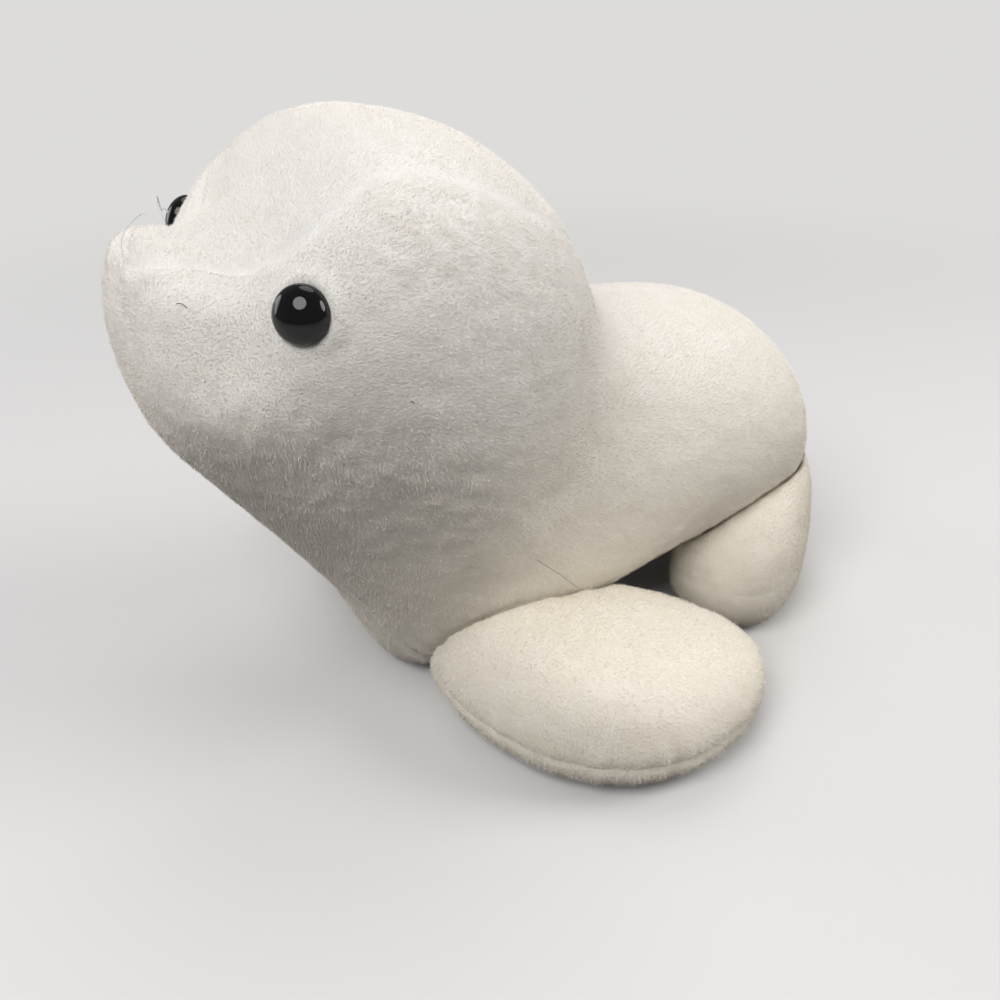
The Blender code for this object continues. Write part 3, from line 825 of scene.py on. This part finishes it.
FLIPPERS = ["left_front_flipper", "right_front_flipper", "left_rear_flipper",
            "right_rear_flipper"]
FLIPPER_VOXEL = 0.0026             # fine enough to keep the thin edge along the rump
EDGE_DRAW = 0.0008
PUCKER_DEPTH = 0.0009
PUCKER_PITCH = 0.0075
PUCKER_AT = 0.004                  # how far in from the edge seam the puckers are deepest
PUCKER_REACH = 0.006
RUFFLE_AT = 0.003                  # the pile is ruffled there too
EDGE_BARE = 0.003
FLIPPER_ROOT = (0.02, -0.02, 0.03)    # off the toy's middle, ahead of the flipper, and up
REAR_SHOWN = 0.35                  # the rear flippers' seam and puckers hardly show

for k, name in enumerate(FLIPPERS):
    nodes = [name + "_upper", name + "_lower"]
    skin = closed_skin(name + "_cover", nodes + [name + "_stuffing"], FLIPPER_VOXEL)
    owner, far, pair = panels_and_seams(skin, nodes)
    filling(skin, name + "_filling", name + "_stuffing")
    swell(skin, far)
    owner, far, pair = panels_and_seams(skin, nodes)
    co = points_of(skin)
    middle = co.mean(axis=0)
    turn = np.arctan2(co[:, 1] - middle[1], co[:, 0] - middle[0])
    radius = np.linalg.norm(co[:, :2] - middle[:2], axis=1).max()
    wave = np.array([noise.noise(Vector((math.cos(t) * radius / PUCKER_PITCH,
                                         math.sin(t) * radius / PUCKER_PITCH, k * 7.3)))
                     for t in turn])
    shown = 1.0 if "front" in name else REAR_SHOWN
    sink = shown * EDGE_DRAW * np.exp(-(far / SEAM_WIDTH) ** 2)
    sink += shown * PUCKER_DEPTH * wave * np.exp(-((far - PUCKER_AT) / PUCKER_REACH) ** 2)
    sink += LUMP_DEPTH * uneven(co, LUMP_SIZE) + 0.7 * MOTTLE_DEPTH * uneven(co, MOTTLE_SIZE)
    put_points(skin, co - normals_of(skin) * sink[:, None])
    side, ahead, up = FLIPPER_ROOT
    root = Vector((side * np.sign(middle[0]), middle[1] + ahead, up))
    near_seam = np.exp(-(far / EDGE_BARE) ** 2)
    rim = 0.25 + 0.6 * shown * np.exp(-((far - RUFFLE_AT) / PUCKER_REACH) ** 2)
    give_pile(skin, root, PILE_LENGTH * (1 - 0.3 * near_seam), rim,
              np.full(len(co), 1.0))
    for i, panel in enumerate(split_panels(skin, owner, nodes)):
        finish_panel(panel, nodes[i], pile_cloth, seed=10 + 2 * k + i)


# Loose threads and hairs: clear nylon whiskers that have come out of the right side of the
# muzzle, a stub of the left ones, a stray dark hair and lint caught in the pile.

WHISKER = [(-0.014, -0.137, 0.2043), (-0.018, -0.1375, 0.2042), (-0.0215, -0.1382, 0.2026),
           (-0.023, -0.14, 0.201), (-0.0224, -0.1418, 0.1996), (-0.0176, -0.1442, 0.1994),
           (-0.01, -0.1468, 0.199), (-0.005, -0.1482, 0.1984), (-0.001, -0.1492, 0.1974),
           (0.004, -0.1498, 0.197), (0.0095, -0.1495, 0.1968)]
WHISKER_CURL = [(-0.05, -0.124, 0.193), (-0.052, -0.1245, 0.196), (-0.0545, -0.125, 0.1995),
                (-0.0558, -0.1241, 0.2015), (-0.055, -0.1239, 0.198), (-0.0535, -0.124, 0.1955),
                (-0.054, -0.1224, 0.1973), (-0.0534, -0.1216, 0.195)]
STUB = [(0.038, -0.1428, 0.1894), (0.0386, -0.1417, 0.1897), (0.0395, -0.1408, 0.1892),
        (0.0404, -0.1402, 0.1884)]
STRAY_HAIR = [(0.0629, -0.0279, 0.0744), (0.0611, -0.022, 0.0686), (0.0597, -0.0157, 0.0623),
              (0.0591, -0.0097, 0.0561), (0.0579, -0.0037, 0.0498)]
LINT = [(0.0805, -0.086, 0.1614), (0.0807, -0.0855, 0.161), (0.0806, -0.085, 0.1607)]

# Clear nylon monofilament: thin, glossy, greyish white
nylon, tree, shader = new_material("clear nylon monofilament", Roughness=0.25, IOR=1.53)
haze = object_noise(tree, 0.002)
tint = add_node(tree, "ShaderNodeValToRGB", {"Fac": haze.outputs["Fac"]})
tint.color_ramp.elements[0].color = linear("#CFCFD0")
tint.color_ramp.elements[1].color = linear("#EDEDED")
tree.links.new(tint.outputs[0], shader.inputs["Base Color"])

# Dark hair and lint: brown, dull
hair, tree, shader = new_material("brown hair", Roughness=0.6)
streaks = object_noise(tree, 0.002)
tint = add_node(tree, "ShaderNodeValToRGB", {"Fac": streaks.outputs["Fac"]})
tint.color_ramp.elements[0].color = linear("#3A2C20")
tint.color_ramp.elements[1].color = linear("#6E5A48")
tree.links.new(tint.outputs[0], shader.inputs["Base Color"])


def thread(name, line, thickness, finish, lying=None):
    """A thin thread through the points; one that lies on the pile is set on its tips."""
    bpy.ops.object.select_all(action="DESELECT")
    bpy.ops.curve.primitive_nurbs_path_add(location=(0, 0, 0))
    made = bpy.context.object
    made.name = name
    spline = made.data.splines[0]
    if len(line) > len(spline.points):
        spline.points.add(len(line) - len(spline.points))
    for i, point in enumerate(spline.points):
        at = Vector(line[min(i, len(line) - 1)])
        if lying is not None:
            near, out, face, far = body_surface.find_nearest(at)
            at = near + out * lying
        point.co = (*at, 1)
    spline.order_u = 3
    spline.use_endpoint_u = True
    made.data.resolution_u = 6
    made.data.bevel_depth = thickness / 2
    made.data.bevel_resolution = 1
    made.data.use_fill_caps = True
    bpy.ops.object.convert(target="MESH")
    made = bpy.context.object
    made.data.materials.clear()
    made.data.materials.append(finish)
    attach(made, "root")


thread("whisker_loop", WHISKER, 0.0004, nylon)
thread("whisker_curl", WHISKER_CURL, 0.0006, nylon)
thread("whisker_stub", STUB, 0.00026, hair, lying=0.0013)
thread("stray_hair", STRAY_HAIR, 0.0002, hair, lying=0.0016)
thread("lint", LINT, 0.0004, hair, lying=0.0016)
